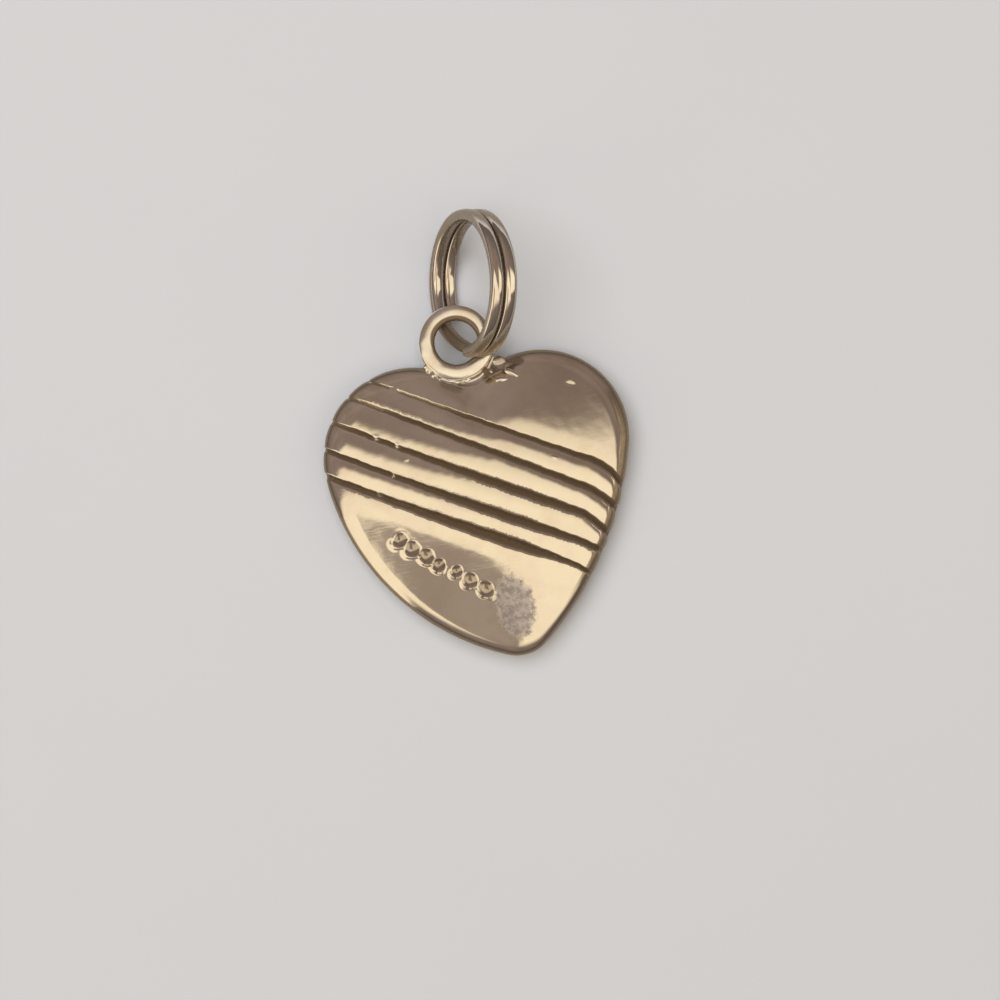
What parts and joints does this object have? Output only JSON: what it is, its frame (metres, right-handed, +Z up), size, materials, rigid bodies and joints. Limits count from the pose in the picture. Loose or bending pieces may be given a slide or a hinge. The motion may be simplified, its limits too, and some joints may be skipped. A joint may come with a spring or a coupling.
{
  "type": "heart charm",
  "caption": "Small cast heart charm with slanted grooves across its domed face, a soldered bail and a split ring that hangs it from a bracelet or chain.",
  "frame": {"origin": "middle of the heart's flat back", "axes": "+Z up through the domed face, +Y from the heart's tip to its bail, +X to the right seen from above"},
  "size_m": [0.0152, 0.0219, 0.0068],
  "materials": {
    "cast_silver": "polished cast silver, warm in tone, darkened in the grooves",
    "ring_silver": "bright drawn wire, lightly worn"
  },
  "bodies": {
    "root": {"heart": "cast_silver", "split_ring": "ring_silver"}
  },
  "joints": []
}
